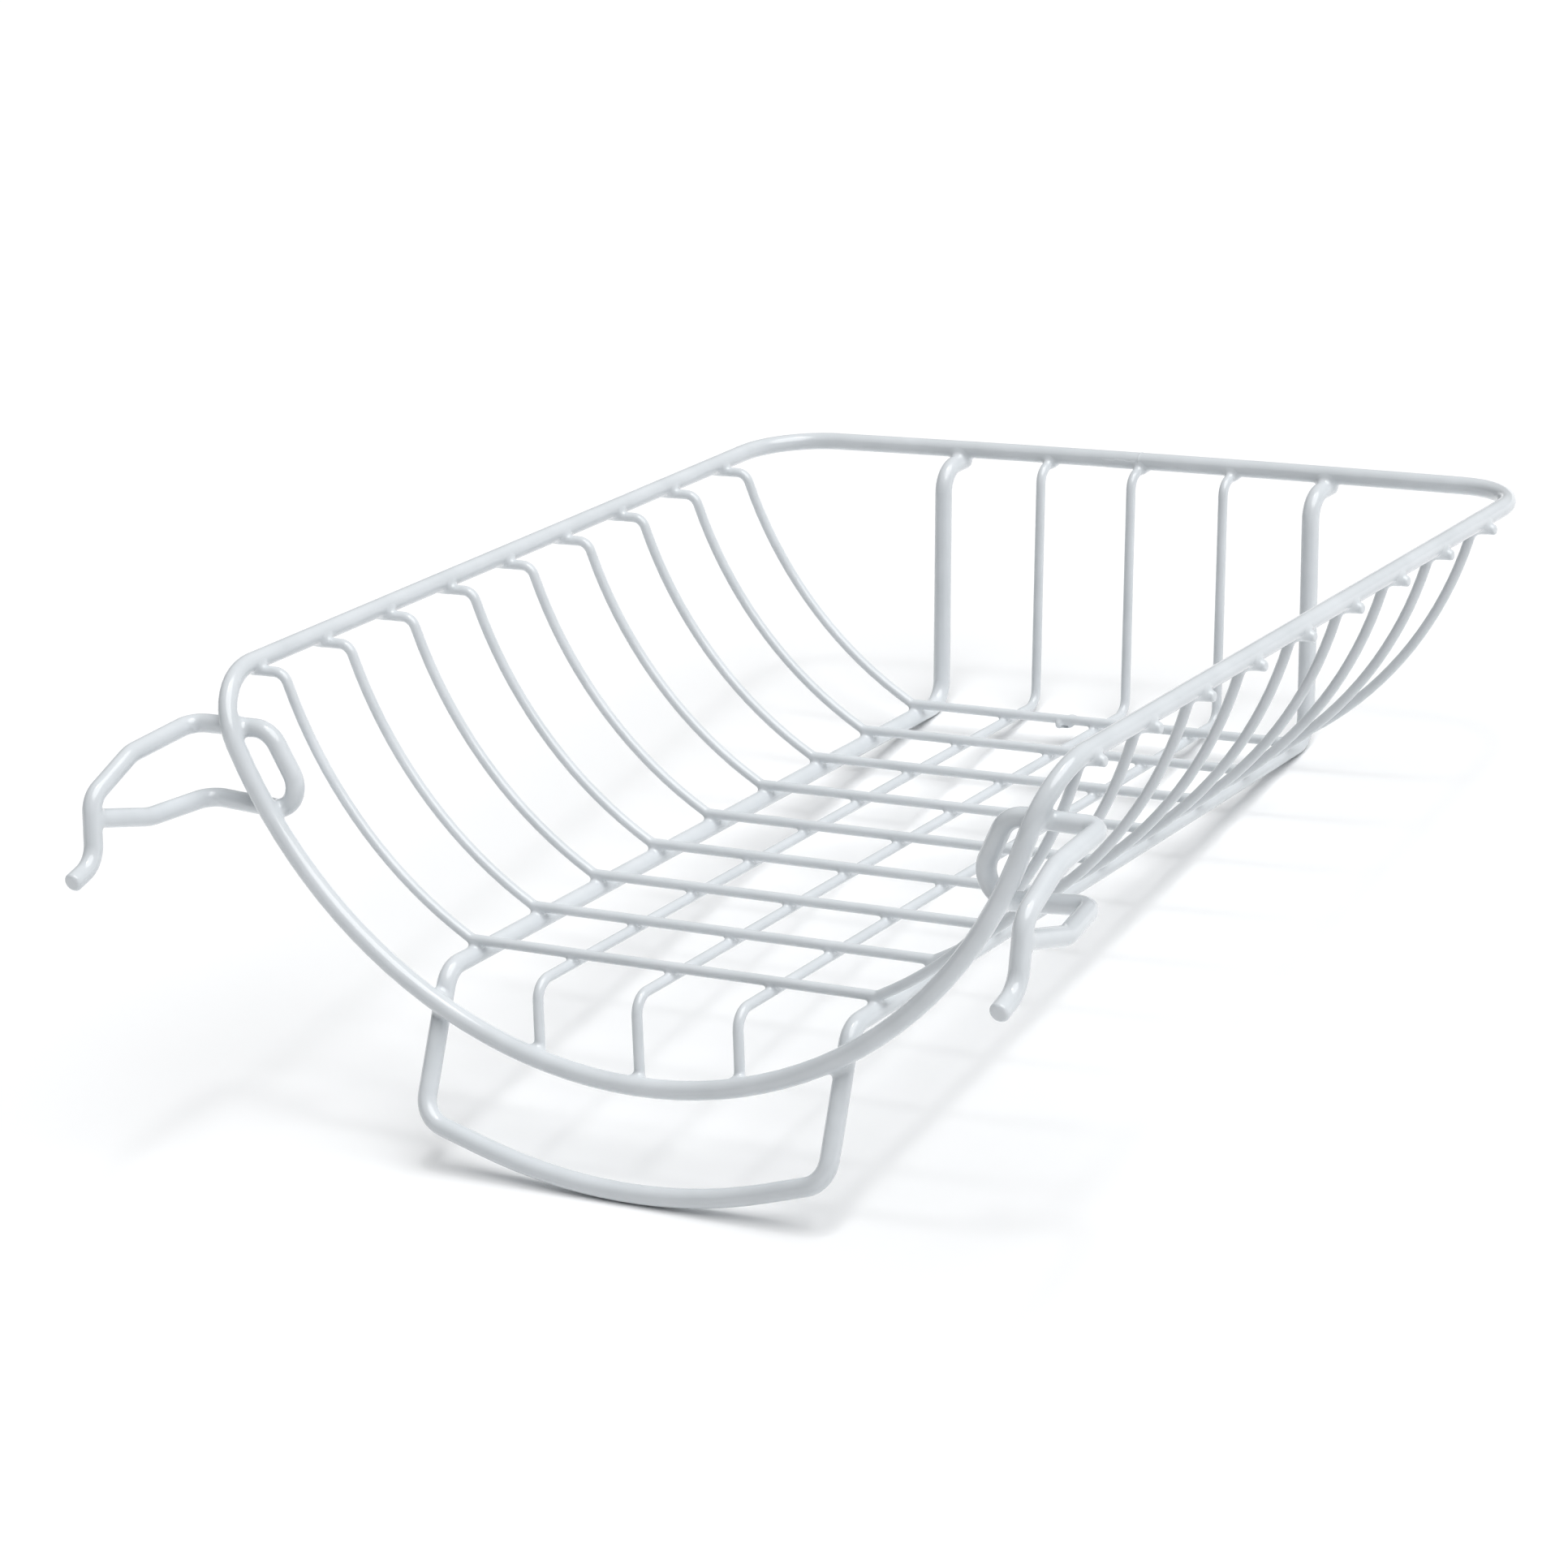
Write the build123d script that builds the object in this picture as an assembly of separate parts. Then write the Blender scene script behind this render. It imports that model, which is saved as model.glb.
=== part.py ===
"""Wire dish drying rack: sixteen bent steel wires, spot-welded and dip-coated white.

Every wire is its own solid.  The wires are laid out in the basket's own frame, with the
floor level, X across the rack, Y from the hooks towards the back wall and Z up.  The
finished rack is then tipped back about X so that it stands on the foot bar and on its two
rear bends, and is moved so that the origin is the bottom centre of its bounding box.
"""
from build123d import *
import os
from math import asin, atan2, degrees, hypot, radians, sqrt, tan

# Wire, measured over the plastic coating.
THICK = 5.8
THIN = 3.2
FLOOR_SET_DOWN = 0.1
RIM_SET_DOWN = 1.5
THICK_END_ROUND = 1.1
THIN_END_ROUND = 0.7

# Basket floor: nine cross wires lie on five long wires.
CROSS_COUNT = 9
CROSS_PITCH = 33.0
OUTER_LONG_X = 69.6
INNER_LONG_X = 34.6
OUTER_LONG_Z = FLOOR_SET_DOWN - (THICK + THIN) / 2
INNER_LONG_Z = FLOOR_SET_DOWN - THIN

# Rim: straight sides, a slightly bowed back and a round front arc that hangs below the floor.
RIM_HALF_WIDTH = 142.6
RIM_Z = 80.4
RIM_SIDE_END_Y = 171.4
RIM_BACK_APEX_Y = 176.3
RIM_BACK_BOW_RADIUS = 3000.0
RIM_BACK_CORNER = 25.0
RIM_FRONT_CORNER = 21.0
FRONT_Y = -155.2
ARC_RADIUS = 145.6
ARC_CENTRE_Z = 116.7

# Side curves of the cross wires: radius, and centre as distance from the middle and height.
# The wires are bent a little wider on the right, so their rim stubs are shorter there.
LEFT_CURVE = (132.2, 5.3, 114.9)
RIGHT_CURVE = (131.4, 15.0, 119.3)
BELLY_ANGLE = 36.0
CROSS_FLOOR_BEND = 4.0
CROSS_RIM_BEND = 4.6
CROSS_STUB_X = RIM_HALF_WIDTH + 4.9
CROSS_STUB_Z = RIM_Z - (THICK + THIN) / 2 + RIM_SET_DOWN

# Back legs of the long wires: where they leave the floor, and how far they lean back.
THICK_BACK_Y = 150.0
THICK_BACK_LEAN = 0.133
THICK_BACK_BEND = 9.0
THIN_BACK_Y = 154.2
THIN_BACK_LEAN = 0.154
THIN_BACK_BEND = 6.0
BACK_STUB_REACH = 2.2
THICK_STUB_Z = RIM_Z - THICK + RIM_SET_DOWN

# Front drops of the thin long wires, welded to the inside of the front arc.
DROP_TOP_Y = -150.8
DROP_END_Y = -152.2
DROP_BEND = 6.0

# Foot: the outer long wires run down behind the front arc and join in a round foot bar.
FOOT_Y = -165.2
FOOT_RADIUS = 173.6
FOOT_CENTRE_Z = 115.5
FOOT_LEG_Y = FRONT_Y + THICK - FLOOR_SET_DOWN
FOOT_LEG_LEAN = 0.465
FOOT_LEG_BEND = 8.0
FOOT_CORNER = 9.0

# Hooks: corner points of the right-hand hook from its tip to its weld, and bend radii.
HOOK_BACK_Y = FRONT_Y + THICK - FLOOR_SET_DOWN
HOOK_TIP = (155.2, -211.5, 32.6)
HOOK_PRONG_FOOT = (155.2, -200.6, 35.7)
HOOK_PRONG_HEAD = (156.4, -197.2, 54.6)
HOOK_SHOULDER = (156.0, -178.0, 62.9)
HOOK_UPPER_OUTER = (155.0, HOOK_BACK_Y, 64.8)
HOOK_UPPER_INNER = (125.8, HOOK_BACK_Y, 65.2)
HOOK_LOWER_INNER = (112.6, HOOK_BACK_Y, 39.8)
HOOK_LOWER_OUTER = (150.6, HOOK_BACK_Y, 42.0)
HOOK_LOWER_SAG = (155.4, -173.2, 41.8)
HOOK_WELD = (156.0, -198.2, 48.7)
HOOK_PRONG_BENDS = (9.0, 8.0, 12.0)
HOOK_LOOP_BENDS = (5.5, 8.5, 8.0, 6.5, 14.0)


def tube(path, diameter):
    """A round wire of the given diameter along a path."""
    section = Plane(origin=path @ 0, z_dir=path % 0) * Circle(diameter / 2)
    return sweep(section, path=path)


def with_round_end(wire, end, diameter, radius):
    """Round the rim of the flat cut face whose centre is at the point end."""
    cut = min(wire.faces(), key=lambda face: (face.center() - Vector(end)).length)
    return fillet(cut.edges(), radius)


def circle_z(centre_z, radius, x):
    """Height of the lower half of a circle centred over X = 0."""
    return centre_z - sqrt(radius**2 - x**2)


def tangent_point(centre_z, radius, x, z):
    """Where the line from the outer point (x, z) touches the circle from below, x > 0."""
    reach = hypot(x, z - centre_z)
    turn = degrees(atan2(z - centre_z, x)) - degrees(asin(sqrt(reach**2 - radius**2) / reach))
    touch = Vector(radius, 0, 0).rotate(Axis.Z, turn)
    return touch.X, touch.Y + centre_z


def hanging_arc(y, centre_z, radius, end_x, end_z):
    """Arc in a plane of constant Y, from (end_x, end_z) down and up to (-end_x, end_z)."""
    return ThreePointArc((end_x, y, end_z), (0, y, centre_z - radius), (-end_x, y, end_z))


def mirrored(points):
    """The same points on the other side of the plane X = 0."""
    return [(-x, y, z) for x, y, z in points]


def rim_frame():
    """The closed thick rim with the round front arc."""
    end_x, end_z = tangent_point(ARC_CENTRE_Z, ARC_RADIUS, RIM_HALF_WIDTH, RIM_Z)
    front = hanging_arc(FRONT_Y, ARC_CENTRE_Z, ARC_RADIUS, end_x, end_z)
    left = [
        (-end_x, FRONT_Y, end_z),
        (-RIM_HALF_WIDTH, FRONT_Y, RIM_Z),
        (-RIM_HALF_WIDTH, RIM_SIDE_END_Y, RIM_Z),
    ]
    back = [(0, RIM_BACK_APEX_Y, RIM_Z)]
    corners = [RIM_FRONT_CORNER, RIM_BACK_CORNER, RIM_BACK_BOW_RADIUS]
    corners += [RIM_BACK_CORNER, RIM_FRONT_CORNER]
    top = FilletPolyline(left + back + mirrored(left[::-1]), radius=corners)
    return tube(Wire(front.edges() + top.edges()), THICK)


def back_leg(x, floor_y, floor_z, lean, stub_z):
    """Corner points of a long wire from its stub under the back rim to the floor."""
    top_y = floor_y + lean * (stub_z - floor_z)
    rim_y = RIM_BACK_APEX_Y - abs(x) / RIM_HALF_WIDTH * (RIM_BACK_APEX_Y - RIM_SIDE_END_Y)
    return [(x, rim_y + BACK_STUB_REACH, stub_z), (x, top_y, stub_z), (x, floor_y, floor_z)]


def foot_frame():
    """The two outer long wires and the foot bar, bent from one thick wire."""
    x = OUTER_LONG_X
    arc_z = circle_z(ARC_CENTRE_Z, ARC_RADIUS, x)
    knee = (x, FOOT_LEG_Y + FOOT_LEG_LEAN * (OUTER_LONG_Z - arc_z), OUTER_LONG_Z)
    toe = (x, FOOT_Y, arc_z - (FOOT_LEG_Y - FOOT_Y) / FOOT_LEG_LEAN)
    end_x, end_z = tangent_point(FOOT_CENTRE_Z, FOOT_RADIUS, x, toe[2])
    bar = hanging_arc(FOOT_Y, FOOT_CENTRE_Z, FOOT_RADIUS, end_x, end_z)
    points = back_leg(x, THICK_BACK_Y, OUTER_LONG_Z, THICK_BACK_LEAN, THICK_STUB_Z)
    points += [knee, toe, (end_x, FOOT_Y, end_z)]
    bends = [THICK_BACK_BEND, THICK_BACK_BEND, FOOT_LEG_BEND, FOOT_CORNER]
    right = FilletPolyline(points, radius=bends)
    left = FilletPolyline(mirrored(points[::-1]), radius=bends[::-1])
    wire = tube(Wire(right.edges() + bar.edges() + left.edges()), THICK)
    for end in (points[0], mirrored(points)[0]):
        wire = with_round_end(wire, end, THICK, THICK_END_ROUND)
    return wire


def long_wire(x):
    """A thin long wire: back stub, back leg, floor and front drop."""
    drop_z = circle_z(ARC_CENTRE_Z, ARC_RADIUS, x)
    points = back_leg(x, THIN_BACK_Y, INNER_LONG_Z, THIN_BACK_LEAN, CROSS_STUB_Z)
    points += [(x, DROP_TOP_Y, INNER_LONG_Z), (x, DROP_END_Y, drop_z)]
    bends = [THIN_BACK_BEND, THIN_BACK_BEND, DROP_BEND]
    wire = tube(FilletPolyline(points, radius=bends), THIN)
    return with_round_end(wire, points[0], THIN, THIN_END_ROUND)


def side_curve(side, radius, centre_x, centre_z):
    """Floor end, belly point and rim end of a cross wire's side curve, as X and Z."""
    floor_x = centre_x + sqrt(radius**2 - centre_z**2)
    top_x = centre_x + sqrt(radius**2 - (centre_z - CROSS_STUB_Z) ** 2)
    belly = Vector(radius, 0, 0).rotate(Axis.Z, -BELLY_ANGLE)
    belly_x = centre_x + belly.X
    belly_z = centre_z + belly.Y
    return (side * floor_x, 0), (side * belly_x, belly_z), (side * top_x, CROSS_STUB_Z)


def cross_wire(y):
    """A thin cross wire: stub, side curve, floor, side curve and stub."""
    left_floor, left_belly, left_top = side_curve(-1, *LEFT_CURVE)
    right_floor, right_belly, right_top = side_curve(1, *RIGHT_CURVE)
    outline = Wire([
        Line((-CROSS_STUB_X, CROSS_STUB_Z), left_top),
        ThreePointArc(left_top, left_belly, left_floor),
        Line(left_floor, right_floor),
        ThreePointArc(right_floor, right_belly, right_top),
        Line(right_top, (CROSS_STUB_X, CROSS_STUB_Z)),
    ])
    floor_corners = [v for v in outline.vertices() if abs(v.Y) < 1]
    outline = outline.fillet_2d(CROSS_FLOOR_BEND, floor_corners)
    rim_x = CROSS_STUB_X - 1
    rim_corners = [v for v in outline.vertices() if v.Y > CROSS_STUB_Z - 1 and abs(v.X) < rim_x]
    outline = outline.fillet_2d(CROSS_RIM_BEND, rim_corners)
    path = Plane(origin=(0, y, 0), x_dir=(1, 0, 0), z_dir=(0, -1, 0)) * outline
    wire = tube(path, THIN)
    for side in (-1, 1):
        end = (side * CROSS_STUB_X, y, CROSS_STUB_Z)
        wire = with_round_end(wire, end, THIN, THIN_END_ROUND)
    return wire


def hook():
    """The right-hand hook, from its flared tip round the front arc and back to its prong.

    The upper run is swept in two lengths that meet end to end half-way along it, so that the
    welded end of the wire joins its own prong as one solid.
    """
    half_way = tuple((a + b) / 2 for a, b in zip(HOOK_SHOULDER, HOOK_UPPER_OUTER))
    prong = [HOOK_TIP, HOOK_PRONG_FOOT, HOOK_PRONG_HEAD, HOOK_SHOULDER, half_way]
    loop = [
        half_way,
        HOOK_UPPER_OUTER,
        HOOK_UPPER_INNER,
        HOOK_LOWER_INNER,
        HOOK_LOWER_OUTER,
        HOOK_LOWER_SAG,
        HOOK_WELD,
    ]
    front = tube(FilletPolyline(prong, radius=HOOK_PRONG_BENDS), THICK)
    front = with_round_end(front, HOOK_TIP, THICK, THICK_END_ROUND)
    return front + tube(FilletPolyline(loop, radius=HOOK_LOOP_BENDS), THICK)


def trimmed(wire, *neighbours):
    """A wire with the set-down of its welds cut to the shape of the wires that it sits on."""
    for neighbour in neighbours:
        wire = wire - neighbour
    return wire


def standing_tilt():
    """Degrees that the rack tips back about X to stand on its foot bar and rear bends."""
    bar_z = FOOT_CENTRE_Z - FOOT_RADIUS
    turn = 90 - degrees(atan2(THICK_BACK_LEAN, 1))
    reach = THICK_BACK_BEND * tan(radians(turn / 2))
    bend_y = THICK_BACK_Y - reach
    bend_z = OUTER_LONG_Z + THICK_BACK_BEND
    along = bend_y - FOOT_Y
    rise = bend_z - bar_z
    return degrees(atan2(rise, along)) - degrees(asin(THICK_BACK_BEND / hypot(along, rise)))


def basket():
    """Every wire by name, in the basket's own frame."""
    rim = rim_frame()
    foot = trimmed(foot_frame(), rim)
    wires = {"rim_frame": rim, "foot_frame": foot}
    long_wires = {
        "long_wire_left": -INNER_LONG_X,
        "long_wire_middle": 0.0,
        "long_wire_right": INNER_LONG_X,
    }
    for name, x in long_wires.items():
        wires[name] = trimmed(long_wire(x), rim)
    seats = list(wires.values())
    for index in range(CROSS_COUNT):
        y = (index - (CROSS_COUNT - 1) / 2) * CROSS_PITCH
        wires[f"cross_wire_{index + 1}"] = trimmed(cross_wire(y), *seats)
    right_hook = trimmed(hook(), rim)
    wires["hook_right"] = right_hook
    wires["hook_left"] = right_hook.mirror(Plane.YZ)
    return wires


def main():
    """Stand the rack on its supports and write one STEP file per wire."""
    tipped = {name: Rot(X=-standing_tilt()) * wire for name, wire in basket().items()}
    box = Compound(list(tipped.values())).bounding_box()
    to_origin = Pos(-box.center().X, -box.center().Y, -box.min.Z)
    os.makedirs("parts", exist_ok=True)
    for name, wire in tipped.items():
        export_step(to_origin * wire, f"parts/{name}.step")


main()
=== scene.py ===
"""Looks of the wire dish drying rack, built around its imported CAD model.

Every wire is the CAD's own solid with a glossy dip-coat material.  What the CAD leaves out is
made here: the coating that fills the corners at each weld, the mark that the hanger of the dip
line left on the last cross wire, and the seam of the rim's butt weld.
"""

from math import pi, radians, sin

import bpy
import numpy as np
from mathutils import Matrix, Vector


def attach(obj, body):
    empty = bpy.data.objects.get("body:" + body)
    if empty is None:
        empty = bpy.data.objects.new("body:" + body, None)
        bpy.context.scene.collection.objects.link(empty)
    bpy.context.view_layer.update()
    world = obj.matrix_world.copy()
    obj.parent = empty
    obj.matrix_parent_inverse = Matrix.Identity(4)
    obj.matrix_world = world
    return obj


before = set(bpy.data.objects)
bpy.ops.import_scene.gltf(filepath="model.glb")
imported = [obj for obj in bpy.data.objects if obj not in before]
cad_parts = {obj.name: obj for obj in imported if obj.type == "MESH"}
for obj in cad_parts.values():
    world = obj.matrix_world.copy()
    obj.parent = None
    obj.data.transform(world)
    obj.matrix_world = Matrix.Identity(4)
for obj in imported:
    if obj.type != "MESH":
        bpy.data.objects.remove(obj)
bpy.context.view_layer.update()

# How the basket's own frame, in millimetres, stands in the row frame, in metres: tipped back
# about X on to its foot bar and rear bends, and moved to the middle of the model's box.
TILT = radians(-9.887114)
BASKET_ORIGIN = np.array([0.0, 6.82546, 31.77101])

# The wires as in the CAD, in the basket's own frame: radii over the coating, and the rounding
# of cut ends.
THICK, THICK_EDGE = 2.9, 1.1
THIN, THIN_EDGE, DROP_EDGE = 1.6, 0.7, 0.2

# Floor: cross wires at an even pitch, long wires at these distances from the middle.
PITCH = 33.0
CROSS_COUNT = 9
OUTER_X, OUTER_Z = 69.6, -4.4
INNER_X, INNER_Z = 34.6, -3.1

# Rim, with a front arc that ends ARC_END degrees from straight down.
RIM_X, RIM_Z, RIM_END_Y, RIM_APEX_Y = 142.6, 80.4, 171.4, 176.3
RIM_FRONT_CORNER, RIM_BACK_CORNER, RIM_BOW = 21.0, 25, 3000
RIM_FOOT = (134.4, -155.2, 60.75)
FRONT_Y, ARC_Z, ARC_R, ARC_END = -155.2, 116.7, 145.6, 67.4

# Side curves of the cross wires, by side: radius, and centre as distance and height.
STUB_X, STUB_Z = 147.5, 77.4
SIDE_CURVES = {-1: (132.2, 5.3, 114.9), 1: (131.4, 15.0, 119.3)}
RIM_BEND, FLOOR_BEND = 4.6, 4.0

# Back legs: where they leave the floor, lean and bend radius, and their stubs. Front drops of
# the thin long wires, and the foot's legs, which lean forward.
THICK_LEG_Y, THICK_LEAN, THICK_BEND = 150.0, 0.133, 9.0
THIN_LEG_Y, THIN_LEAN, THIN_BEND = 154.2, 0.154, 6.0
THICK_STUB_Z, BACK_REACH = 76.1, 2.2
DROP_TOP_Y, DROP_END_Y, DROP_BEND = -150.8, -152.2, 6.0
LEG_Y, LEG_LEAN = -149.5, 0.465

# The right-hand hook's prong and loop, which meet half-way along its upper run.
HOOK_Y = -149.5
HOOK_PRONG = [(155.2, -211.5, 32.6), (155.2, -200.6, 35.7), (156.4, -197.2, 54.6),
              (156.0, -178.0, 62.9), (155.5, -163.75, 63.85)]
HOOK_PRONG_BENDS = [9, 8, 12]
HOOK_LOOP = [(155.5, -163.75, 63.85), (155.0, HOOK_Y, 64.8), (125.8, HOOK_Y, 65.2),
             (112.6, HOOK_Y, 39.8), (150.6, HOOK_Y, 42.0), (155.4, -173.2, 41.8),
             (156.0, -198.2, 48.7)]
HOOK_LOOP_BENDS = [5.5, 8.5, 8, 6.5, 14]

# The fillets of coating, by place: blend between the wires, reach of the piece, size of its
# mesh cells, and swell at its middle.
FILLETS = {
    "thin on thin": (1.8, 4.6, 0.36, 0.06),
    "thin on thick": (2.2, 5.6, 0.42, 0.06),
    "side stub": (2.6, 6.4, 0.45, 0.08),
    "thick back stub": (3.0, 8.0, 0.55, 0.08),
    "front drop": (2.4, 6.4, 0.45, 0.12),
    "foot leg": (2.6, 7.6, 0.55, 0.08),
    "hook on rim": (3.0, 8.0, 0.55, 0.08),
    "hook on itself": (1.8, 7.0, 0.5, 0.05),
}

# Every coating piece lies a little under the wires' surface, and dives further down into them
# from this share of its reach, so that its edge never shows.
SUNK = 0.03
FADE_FROM, SEAM_FADE_FROM = 0.78, 0.9
FADE_DEPTH = 0.35

# The hang mark on the last cross wire, and the butt weld at the middle of the back rim.
HANG_X, HANG_REACH, HANG_CELL = -11.0, 6.6, 0.24
RIM_MIDDLE_Y, SEAM_REACH, SEAM_CELL = 174.5, 10.0, 0.27

# Camera at the photograph's viewing angle, in the row frame, and plain studio light.
CAMERA_AT = (0.735298, -1.111772, 0.682861)
CAMERA_FORWARD = (-0.515587, 0.744540, -0.424067)
CAMERA_UP = (-0.098044, 0.440407, 0.892431)
LENS = 108.76
LIGHTS = {  # energy, spread in degrees, and the direction that the light comes from
    "softbox": (2.35, 55, (0.42, -0.02, 0.91)),
    "sparkle": (0.22, 7, (0.1, 0.1, 0.95)),
}
SKY_TOWARDS = (0.15, 0.45, 0.85)
FLOOR_HALF = 12.0


def unit(v):
    """The vector at length one."""
    return v / np.linalg.norm(v)


def corner_arc(before, corner, after, radius, step=1.2):
    """Points round one bend of a wire's centreline."""
    u, v = unit(before - corner), unit(after - corner)
    half = 0.5 * np.arccos(np.clip(u @ v, -1, 1))
    centre = corner + unit(u + v) * radius / sin(half)
    reach = radius / np.tan(half)
    start, end = corner + u * reach - centre, corner + v * reach - centre
    sweep = pi - 2 * half
    turn = np.linspace(0, 1, max(3, int(radius * sweep / step)) + 1)[:, None]
    return centre + (np.sin((1 - turn) * sweep) * start + np.sin(turn * sweep) * end) / sin(sweep)


def bent(points, radii):
    """Centreline of a bent wire from its corner points; a radius of 0 leaves a corner as it is."""
    points = np.array(points, float)
    line = [points[:1]]
    for i, radius in enumerate(radii, 1):
        corner = points[i - 1], points[i], points[i + 1]
        line.append(corner_arc(*corner, radius) if radius else points[i : i + 1])
    return np.vstack(line + [points[-1:]])


def arc(y, centre_z, radius, first, last, count=80):
    """Part of a circle in a plane of constant Y; angles in degrees from straight down."""
    turn = np.radians(np.linspace(first, last, count))
    level = np.full(count, y)
    return np.stack([radius * np.sin(turn), level, centre_z - radius * np.cos(turn)], 1)


class Wire:
    """A bent round wire; tip is 0 or -1 where the path's first or last point is a cut end."""

    def __init__(self, path, radius, tip=None, edge=0.0):
        path = np.array(path, float)
        self.radius, self.tip, self.edge, self.line = radius, tip, edge, path
        if tip is not None:
            self.end = path[tip]
            self.outward = unit(path[tip] - path[1 if tip == 0 else -2])
            longer = [self.end + 8 * self.outward]
            path = np.vstack([longer, path] if tip == 0 else [path, longer])
        self.start, self.run = path[:-1], np.diff(path, axis=0)

    def distance(self, points, near, reach):
        """Distance from points to the wire's surface, exact within reach of near."""
        middle = self.start + self.run / 2
        half = np.linalg.norm(self.run, axis=1) / 2
        close = np.linalg.norm(middle - near, axis=1) - half < 2.5 * reach
        best = np.full(len(points), 1e9)
        for a, d in zip(self.start[close], self.run[close]):
            along = np.clip((points - a) @ d / (d @ d), 0, 1)
            best = np.minimum(best, np.linalg.norm(points - a - along[:, None] * d, axis=1))
        best -= self.radius
        if self.tip is None:
            return best
        beyond = (points - self.end) @ self.outward
        corner = np.hypot(np.maximum(best + self.edge, 0), np.maximum(beyond + self.edge, 0))
        at_rim = (best > -self.edge) & (beyond > -self.edge)
        return np.where(at_rim, corner - self.edge, np.maximum(best, beyond))

    def near(self, place, span=14.0, step=0.2):
        """Closely spaced centreline points around a place."""
        dense = []
        for a, b in zip(self.line[:-1], self.line[1:]):
            count = max(2, int(np.linalg.norm(b - a) / step))
            dense.append(a + np.linspace(0, 1, count)[:, None] * (b - a))
        dense = np.vstack(dense)
        return dense[np.linalg.norm(dense - place, axis=1) < span]


def smooth_union(d, e, blend):
    """Two distances joined with a rounded corner."""
    return np.minimum(d, e) - np.clip(1 - np.abs(d - e) / blend, 0, 1) ** 2 * blend / 4


def settle(field, points, step):
    """Points moved down the field's slope on to the surface where it is zero."""
    slope = [(field(points + step * e) - field(points - step * e)) / (2 * step) for e in np.eye(3)]
    slope = np.stack(slope, 1)
    move = field(points) / np.maximum((slope**2).sum(1), 0.1)
    return points - np.clip(move, -2 * step, 2 * step)[:, None] * slope


def net(field, near, reach, cell):
    """Points and quads of the closed surface where field is zero, within reach of near."""
    count = int(2 * reach / cell) + 4
    corner = near - cell * (count - 1) / 2
    lattice = np.stack(np.meshgrid(*[np.arange(count)] * 3, indexing="ij"), -1)
    value = field((corner + lattice * cell).reshape(-1, 3)).reshape((count,) * 3)
    value[[0, -1]] = value[:, [0, -1]] = value[:, :, [0, -1]] = 1
    inside = value < 0
    steps = np.eye(3, dtype=int)
    part = lambda s, n: tuple(slice(v, v + n) for v in s)
    total, hits = np.zeros((count - 1,) * 3 + (3,)), np.zeros((count - 1,) * 3)
    for axis in range(3):
        for low in np.ndindex(2, 2, 2):
            if low[axis]:
                continue
            a, b = value[part(low, count - 1)], value[part(low + steps[axis], count - 1)]
            cut = (a < 0) != (b < 0)
            share = np.where(cut, a / np.where(cut, a - b, 1), 0)[..., None]
            total += cut[..., None] * (low + share * steps[axis])
            hits += cut
    used = hits > 0
    number = np.full(used.shape, -1)
    number[used] = np.arange(used.sum())
    points = corner + cell * (np.argwhere(used) + total[used] / hits[used][:, None])
    quads = []
    for axis in range(3):
        u, v, w = steps[axis], steps[(axis + 1) % 3], steps[(axis + 2) % 3]
        a = inside[tuple(slice(0, count - s) for s in u)]
        b = inside[tuple(slice(s, count) for s in u)]
        at = np.argwhere(a != b)
        ring = np.stack([number[tuple((at - s).T)] for s in (0 * v, v, v + w, w)], 1)
        quads.append(np.where(a[tuple(at.T)][:, None], ring, ring[:, ::-1]))
    for _ in range(4):
        points = settle(field, points, cell / 8)
    return points, np.vstack(quads)


def sink(away, fade_from):
    """How far a coating piece lies under the surface, by its share of the piece's reach."""
    return SUNK + np.clip((away - fade_from) / (1 - fade_from), 0, 1) ** 2 * FADE_DEPTH


def weld(first, second, guess, place):
    """The coating that fills the corner between two wires where they touch."""
    blend, reach, cell, swell = FILLETS[place]
    a, b = first.near(guess), second.near(guess)
    gap = np.linalg.norm(a[:, None] - b[None], axis=2)
    i, j = np.unravel_index(gap.argmin(), gap.shape)
    near = (a[i] + b[j]) / 2

    def field(points):
        d, e = first.distance(points, near, reach), second.distance(points, near, reach)
        away = np.linalg.norm(points - near, axis=1) / reach
        grown = swell * np.clip(1 - (away / FADE_FROM) ** 2, 0, 1) ** 2
        joined = smooth_union(d, e, blend) + sink(away, FADE_FROM) - grown
        return np.maximum(joined, (away - 1) * reach)

    return net(field, near, reach, cell)


def moved(shape, x=0.0, y=0.0):
    """A shape shifted in the plane of the basket's floor."""
    return shape[0] + np.array([x, y, 0]), shape[1]


def mirrored(shape):
    """A shape on the other side of the plane X = 0."""
    return shape[0] * (-1, 1, 1), shape[1][:, ::-1]


def piece(name, shapes, material):
    """One object from shapes in the basket's frame, riding on the rack."""
    points, quads, count = [], [], 0
    for p, q in shapes:
        points.append(p)
        quads.append(q + count)
        count += len(p)
    tilt = np.array(Matrix.Rotation(TILT, 3, "X"))
    points = (np.vstack(points) @ tilt.T + BASKET_ORIGIN) / 1000
    mesh = bpy.data.meshes.new(name)
    mesh.from_pydata(points.tolist(), [], np.vstack(quads).tolist())
    mesh.shade_smooth()
    mesh.materials.append(material)
    made = bpy.data.objects.new(name, mesh)
    bpy.context.scene.collection.objects.link(made)
    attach(made, "root")
    return made


def side_wire(side):
    """The thin cross wire over the middle of the basket, from its stub on one side to X = 0."""
    radius, centre_x, centre_z = SIDE_CURVES[side]
    low = np.degrees(np.arccos(centre_z / radius))
    high = np.degrees(np.arccos((centre_z - STUB_Z) / radius))
    curve = arc(0, centre_z, radius, high, low, 28) + (centre_x, 0, 0)
    points = np.vstack([[STUB_X, 0, STUB_Z], curve, [0, 0, 0]]) * (side, 1, 1)
    radii = [RIM_BEND] + [0] * (len(curve) - 2) + [FLOOR_BEND]
    return Wire(bent(points, radii), THIN, tip=0, edge=THIN_EDGE)


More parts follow.
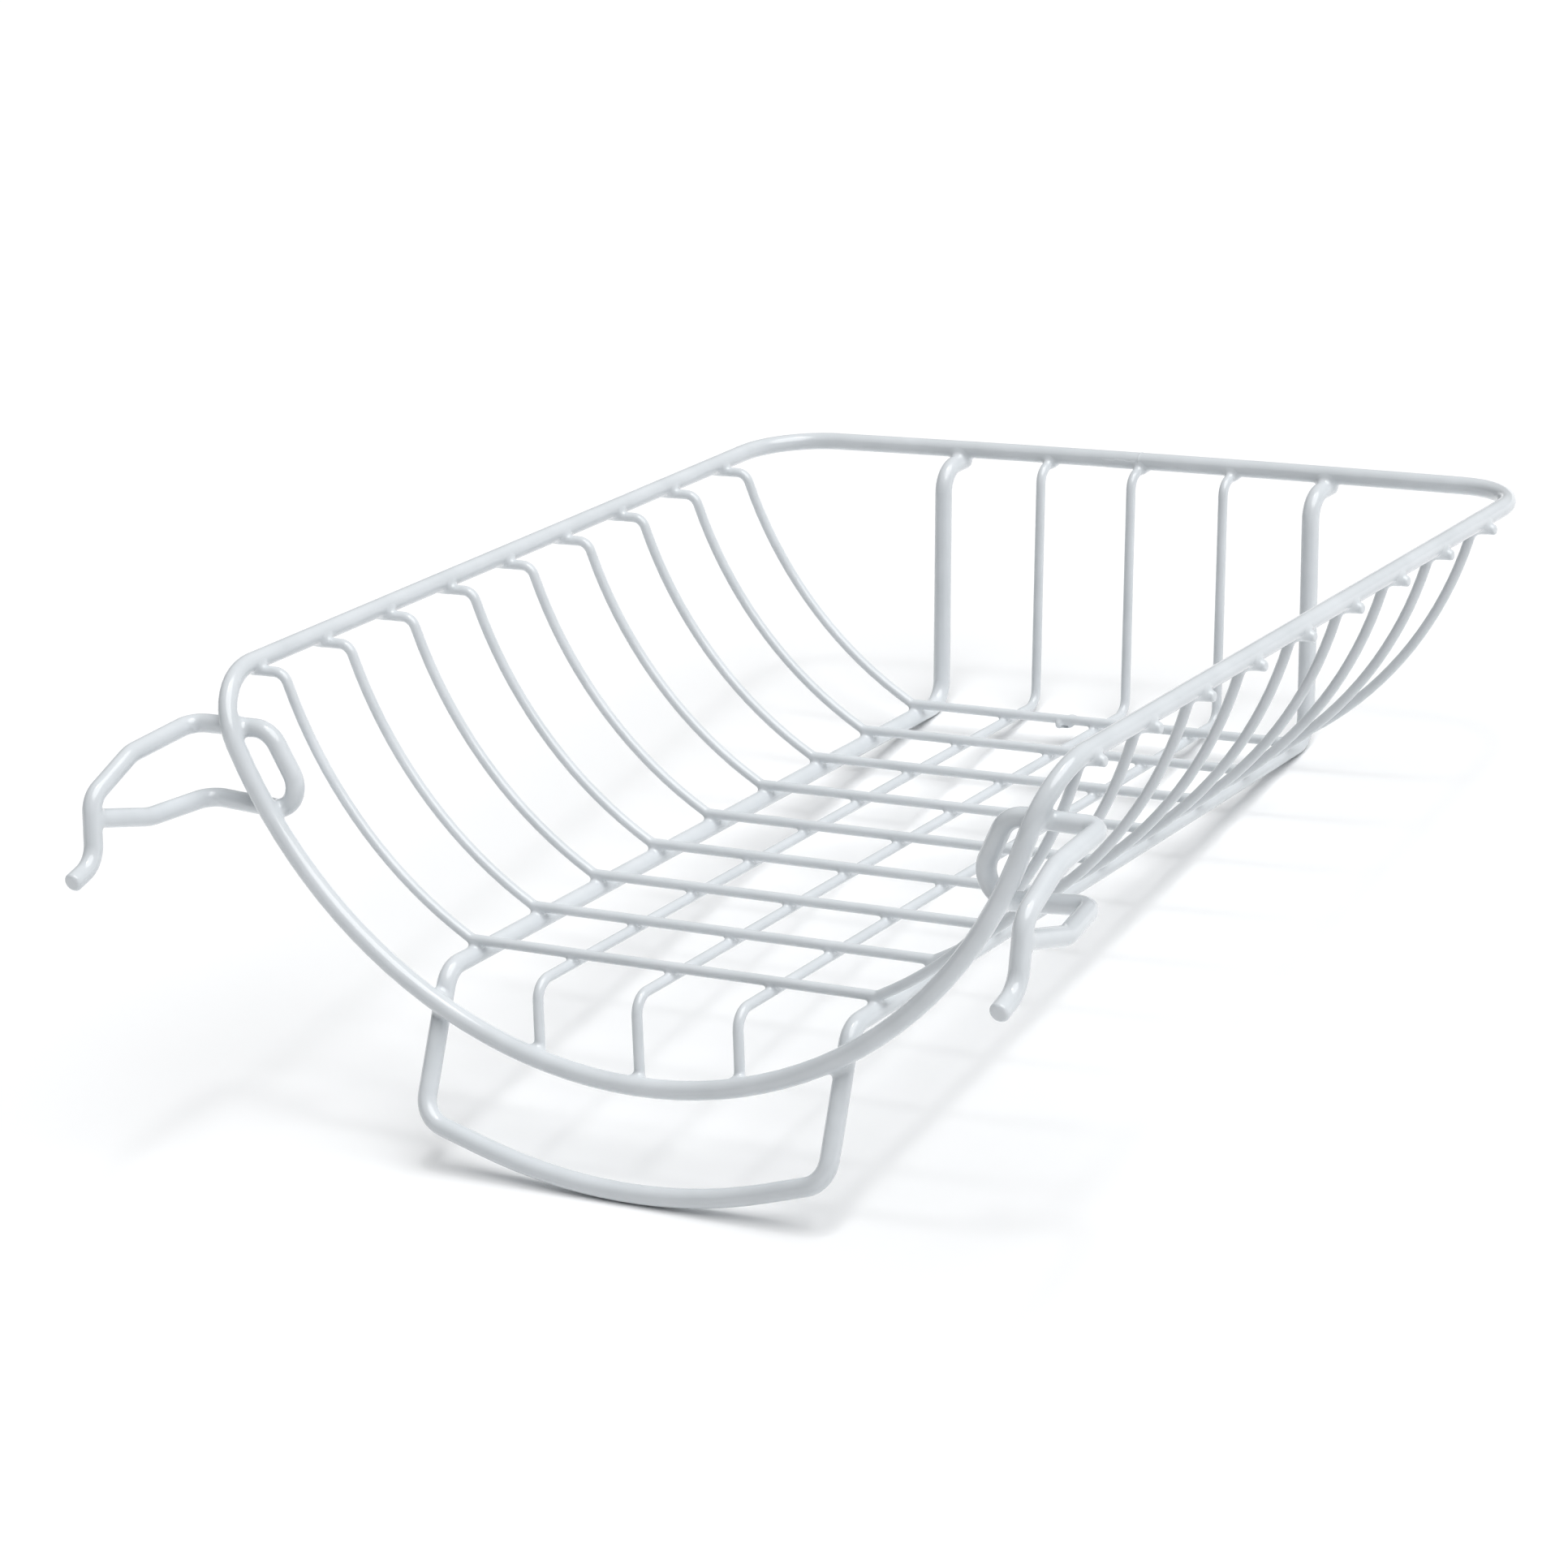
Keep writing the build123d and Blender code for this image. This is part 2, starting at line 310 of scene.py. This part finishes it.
def back_wire(x, floor_y, floor_z, lean, stub_z, bend, radius, edge):
    """A long wire from its stub under the back rim down to the floor."""
    rim_y = RIM_APEX_Y - abs(x) / RIM_X * (RIM_APEX_Y - RIM_END_Y)
    top_y = floor_y + lean * (stub_z - floor_z)
    points = [(x, rim_y + BACK_REACH, stub_z), (x, top_y, stub_z)]
    points += [(x, floor_y, floor_z), (x, 0, floor_z)]
    return Wire(bent(points, [bend, bend]), radius, tip=0, edge=edge)


def front_drop(x):
    """The front end of a thin long wire, cut off behind the front arc."""
    drop_z = ARC_Z - np.sqrt(ARC_R**2 - x**2)
    points = [(x, 0, INNER_Z), (x, DROP_TOP_Y, INNER_Z), (x, DROP_END_Y, drop_z)]
    return Wire(bent(points, [DROP_BEND]), THIN, tip=-1, edge=DROP_EDGE)


def ellipsoid(points, centre, radii):
    """Distance, near enough, to an ellipsoid."""
    scaled = (points - centre) / np.array(radii)
    size = np.linalg.norm(scaled, axis=1)
    return size * (size - 1) / np.maximum(np.linalg.norm(scaled / np.array(radii), axis=1), 1e-6)


def hang_mark(material):
    """The bead and drip that the dip line's hanger left on the last cross wire."""
    x, y = HANG_X, (CROSS_COUNT - 1) / 2 * PITCH
    near = np.array([x, y + 0.6, -0.8])
    wire = Wire([(x - 20, y, 0), (x + 20, y, 0)], THIN)

    def field(points):
        bead = ellipsoid(points, (x + 0.9, y + 3.0, -0.6), (2.5, 2.2, 1.5))
        drip = ellipsoid(points, (x - 1.7, y - 1.5, -1.5), (1.2, 1.2, 1.35))
        slit = ellipsoid(points, (x + 0.7, y - 1.7, -2.0), (1.3, 0.9, 0.45))
        lip = ellipsoid(points, (x + 0.4, y - 0.6, -1.9), (2.6, 1.2, 0.9))
        body = smooth_union(smooth_union(bead, lip, 1.2), drip, 0.9)
        body = smooth_union(body, wire.distance(points, near, HANG_REACH), 1.2)
        body = np.maximum(body, -slit)
        away = np.linalg.norm(points - near, axis=1) / HANG_REACH
        return np.maximum(body + sink(away, FADE_FROM), (away - 1) * HANG_REACH)

    piece("hang_mark", [net(field, near, HANG_REACH, HANG_CELL)], material)


def rim_seam(material):
    """The butt weld at the middle of the back rim: a fine ridge, and a pressed band beside it."""
    rim = Wire([(-30, RIM_MIDDLE_Y, RIM_Z), (30, RIM_MIDDLE_Y, RIM_Z)], THICK)
    near = np.array([-5.0, RIM_MIDDLE_Y, RIM_Z])

    def field(points):
        x, y, z = (points - (0, RIM_MIDDLE_Y, RIM_Z)).T
        turn = np.degrees(np.arctan2(z, -y))
        ragged = 1.0 * np.sin(2.1 * x) + 1.6 * np.sin(0.83 * x + 1.2)
        along = np.clip((x + 13.6 + 0.4 * np.sin(3 * z)) / 0.6, 0, 1)
        along = along * np.clip((-0.9 - x) / 0.5, 0, 1)
        across = np.clip((16 + ragged * 2.2 - turn) / 7, 0, 1)
        across = across * np.clip((turn + 78) / 14, 0, 1)
        ridge = 0.17 * np.exp(-((x / 0.34) ** 2)) + 0.16 * along * across
        away = np.linalg.norm(points - near, axis=1) / SEAM_REACH
        body = rim.distance(points, near, SEAM_REACH) + sink(away, SEAM_FADE_FROM) - ridge
        return np.maximum(body, (away - 1) * SEAM_REACH)

    piece("rim_butt_weld", [net(field, near, SEAM_REACH, SEAM_CELL)], material)


def floor_and_side_welds(material):
    """Coating where cross wires lie on long wires; returns that of the stubs under the rim."""
    ys = [(i - (CROSS_COUNT - 1) / 2) * PITCH for i in range(CROSS_COUNT)]
    floor_wire = Wire([(-50, 0, 0), (50, 0, 0)], THIN)
    inner = Wire([(0, -50, INNER_Z), (0, 50, INNER_Z)], THIN)
    shape = weld(floor_wire, inner, np.array([0, 0, -1.5]), "thin on thin")
    floor = [moved(shape, x, y) for x in (-INNER_X, 0, INNER_X) for y in ys]
    rim = []
    for side in (-1, 1):
        cross = side_wire(side)
        outer = Wire([(side * OUTER_X, -50, OUTER_Z), (side * OUTER_X, 50, OUTER_Z)], THICK)
        shape = weld(cross, outer, np.array([side * OUTER_X, 0, -2]), "thin on thick")
        floor += [moved(shape, 0, y) for y in ys]
        rim_side = Wire([(side * RIM_X, -120, RIM_Z), (side * RIM_X, 120, RIM_Z)], THICK)
        shape = weld(cross, rim_side, np.array([side * RIM_X, 0, 78.5]), "side stub")
        rim += [moved(shape, 0, y) for y in ys]
    piece("floor_weld_coating", floor, material)
    return rim


def back_welds():
    """Coating where the back legs' stubs meet the back of the rim."""
    back = [(-RIM_X, 100, RIM_Z), (-RIM_X, RIM_END_Y, RIM_Z), (0, RIM_APEX_Y, RIM_Z),
            (RIM_X, RIM_END_Y, RIM_Z), (RIM_X, 100, RIM_Z)]
    back = Wire(bent(back, [RIM_BACK_CORNER, RIM_BOW, RIM_BACK_CORNER]), THICK)
    thick = back_wire(OUTER_X, THICK_LEG_Y, OUTER_Z, THICK_LEAN, THICK_STUB_Z, THICK_BEND,
                      THICK, THICK_EDGE)
    shape = weld(thick, back, np.array([OUTER_X, 174, 78]), "thick back stub")
    rim = [shape, mirrored(shape)]
    for x in (0, INNER_X):
        thin = back_wire(x, THIN_LEG_Y, INNER_Z, THIN_LEAN, STUB_Z, THIN_BEND, THIN, THIN_EDGE)
        shape = weld(thin, back, np.array([x, 175.5, 78.5]), "side stub")
        rim += [shape, mirrored(shape)] if x else [shape]
    return rim


def front_welds(material):
    """Coating where the long wires' front ends and the foot's legs meet the front arc."""
    front_arc = Wire(arc(FRONT_Y, ARC_Z, ARC_R, -ARC_END, ARC_END, 240), THICK)
    front = []
    for x in (0, INNER_X):
        drop = front_drop(x)
        shape = weld(drop, front_arc, drop.end, "front drop")
        front += [shape, mirrored(shape)] if x else [shape]
    level = ARC_Z - np.sqrt(ARC_R**2 - OUTER_X**2)
    leg = Wire([(OUTER_X, LEG_Y + LEG_LEAN * z, level + z) for z in (20, -20)], THICK)
    shape = weld(leg, front_arc, np.array([OUTER_X, -152, level]), "foot leg")
    front += [shape, mirrored(shape)]
    piece("front_weld_coating", front, material)


def hook_welds(material):
    """Coating where each hook crosses the rim's front twice and meets its own prong."""
    upright = [RIM_FOOT, (RIM_X, FRONT_Y, RIM_Z), (RIM_X, 0, RIM_Z)]
    upright = bent(upright, [RIM_FRONT_CORNER])[1:]
    upright = Wire(np.vstack([arc(FRONT_Y, ARC_Z, ARC_R, 30, ARC_END), upright]), THICK)
    stop = np.array(HOOK_LOOP[-1]) - THICK * unit(np.subtract(HOOK_LOOP[-1], HOOK_LOOP[-2]))
    prong = Wire(bent(HOOK_PRONG, HOOK_PRONG_BENDS), THICK)
    loop = Wire(bent(HOOK_LOOP, HOOK_LOOP_BENDS), THICK)
    hook = []
    for guess in ((136.3, -152.3, 65.0), (126.0, -152.3, 42.0)):
        hook.append(weld(loop, upright, np.array(guess), "hook on rim"))
    hook.append(weld(Wire([HOOK_LOOP[-2], stop], THICK), prong, stop, "hook on itself"))
    piece("hook_weld_coating_right", hook, material)
    piece("hook_weld_coating_left", [mirrored(shape) for shape in hook], material)


def node(tree, kind, inputs=None, **settings):
    """A shader node with its settings and unlinked inputs."""
    made = tree.nodes.new(kind)
    for key, value in settings.items():
        setattr(made, key, value)
    for key, value in (inputs or {}).items():
        made.inputs[key].default_value = value
    return made


def coating():
    """Glossy white dip coat: slight thickness waves, orange peel and pooled patches."""
    material = bpy.data.materials.new("dip_coat")
    material.use_nodes = True
    tree = material.node_tree
    tree.nodes.clear()
    link = tree.links.new
    place = node(tree, "ShaderNodeTexCoord")
    pooled = node(tree, "ShaderNodeTexNoise", {"Scale": 60, "Detail": 3, "Roughness": 0.5})
    waves = node(tree, "ShaderNodeTexNoise", {"Scale": 140, "Detail": 2, "Roughness": 0.4})
    peel = node(tree, "ShaderNodeTexNoise", {"Scale": 1100, "Detail": 2, "Roughness": 0.5})
    for texture in (pooled, waves, peel):
        link(place.outputs["Object"], texture.inputs["Vector"])
    tint = node(tree, "ShaderNodeValToRGB")
    tint.color_ramp.elements[0].position = 0.3
    tint.color_ramp.elements[0].color = (0.64, 0.675, 0.702, 1)
    tint.color_ramp.elements[1].position = 0.7
    tint.color_ramp.elements[1].color = (0.70, 0.733, 0.762, 1)
    link(pooled.outputs["Fac"], tint.inputs["Fac"])
    gloss = {"From Min": 0.3, "From Max": 0.7, "To Min": 0.13, "To Max": 0.22}
    gloss = node(tree, "ShaderNodeMapRange", gloss)
    link(pooled.outputs["Fac"], gloss.inputs["Value"])
    low = node(tree, "ShaderNodeBump", {"Strength": 0.35, "Distance": 0.0002})
    link(waves.outputs["Fac"], low.inputs["Height"])
    high = node(tree, "ShaderNodeBump", {"Strength": 0.12, "Distance": 0.00003})
    link(peel.outputs["Fac"], high.inputs["Height"])
    link(low.outputs["Normal"], high.inputs["Normal"])
    finish = {"IOR": 1.5, "Coat Weight": 0.3, "Coat Roughness": 0.06}
    shader = node(tree, "ShaderNodeBsdfPrincipled", finish)
    link(tint.outputs["Color"], shader.inputs["Base Color"])
    link(gloss.outputs["Result"], shader.inputs["Roughness"])
    link(high.outputs["Normal"], shader.inputs["Normal"])
    out = node(tree, "ShaderNodeOutputMaterial")
    link(shader.outputs["BSDF"], out.inputs["Surface"])
    return material


def floor_material():
    """Plain pale studio floor."""
    material = bpy.data.materials.new("studio_floor")
    material.use_nodes = True
    shader = material.node_tree.nodes["Principled BSDF"]
    shader.inputs["Base Color"].default_value = (0.95, 0.955, 0.96, 1)
    shader.inputs["Roughness"].default_value = 0.9
    shader.inputs["Specular IOR Level"].default_value = 0.0
    return material


def studio_floor():
    """Floor under the rack."""
    h = FLOOR_HALF
    mesh = bpy.data.meshes.new("studio_floor")
    mesh.from_pydata([(-h, -h, 0), (h, -h, 0), (h, h, 0), (-h, h, 0)], [], [(0, 1, 2, 3)])
    mesh.materials.append(floor_material())
    floor = bpy.data.objects.new("studio_floor", mesh)
    bpy.context.scene.collection.objects.link(floor)


def studio_sky():
    """World light that is bright on one side and dim on the other."""
    world = bpy.data.worlds.new("studio")
    world.use_nodes = True
    tree = world.node_tree
    sky = tree.nodes["Background"]
    sky.inputs["Color"].default_value = (0.985, 0.992, 1.0, 1)
    place = node(tree, "ShaderNodeTexCoord")
    facing = node(tree, "ShaderNodeVectorMath", {1: SKY_TOWARDS}, operation="DOT_PRODUCT")
    dim = {"From Min": 0.1, "From Max": 0.7, "To Min": 0.03, "To Max": 0.5}
    dim = node(tree, "ShaderNodeMapRange", dim, interpolation_type="SMOOTHSTEP")
    tree.links.new(place.outputs["Generated"], facing.inputs[0])
    tree.links.new(facing.outputs["Value"], dim.inputs["Value"])
    tree.links.new(dim.outputs["Result"], sky.inputs["Strength"])
    bpy.context.scene.world = world


def studio_lights():
    """A broad soft light and a small one for the highlights."""
    for name, (energy, spread, towards) in LIGHTS.items():
        light = bpy.data.lights.new(name, "SUN")
        light.energy = energy
        light.angle = radians(spread)
        lamp = bpy.data.objects.new(name, light)
        lamp.rotation_mode = "QUATERNION"
        lamp.rotation_quaternion = Vector(towards).to_track_quat("Z", "Y")
        bpy.context.scene.collection.objects.link(lamp)


def studio_camera():
    """Camera and view transform."""
    camera = bpy.data.objects.new("camera", bpy.data.cameras.new("camera"))
    camera.data.lens = LENS
    forward, up = Vector(CAMERA_FORWARD), Vector(CAMERA_UP)
    turn = Matrix((forward.cross(up), up, -forward)).transposed()
    camera.matrix_world = Matrix.Translation(CAMERA_AT) @ turn.to_4x4()
    bpy.context.scene.collection.objects.link(camera)
    bpy.context.scene.camera = camera
    bpy.context.scene.view_settings.view_transform = "Standard"


coat = coating()
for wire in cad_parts.values():
    wire.data.materials.clear()
    wire.data.materials.append(coat)
    for polygon in wire.data.polygons:
        polygon.material_index = 0
stubs = floor_and_side_welds(coat)
piece("rim_weld_coating", stubs + back_welds(), coat)
front_welds(coat)
hook_welds(coat)
hang_mark(coat)
rim_seam(coat)
studio_floor()
studio_sky()
studio_lights()
studio_camera()
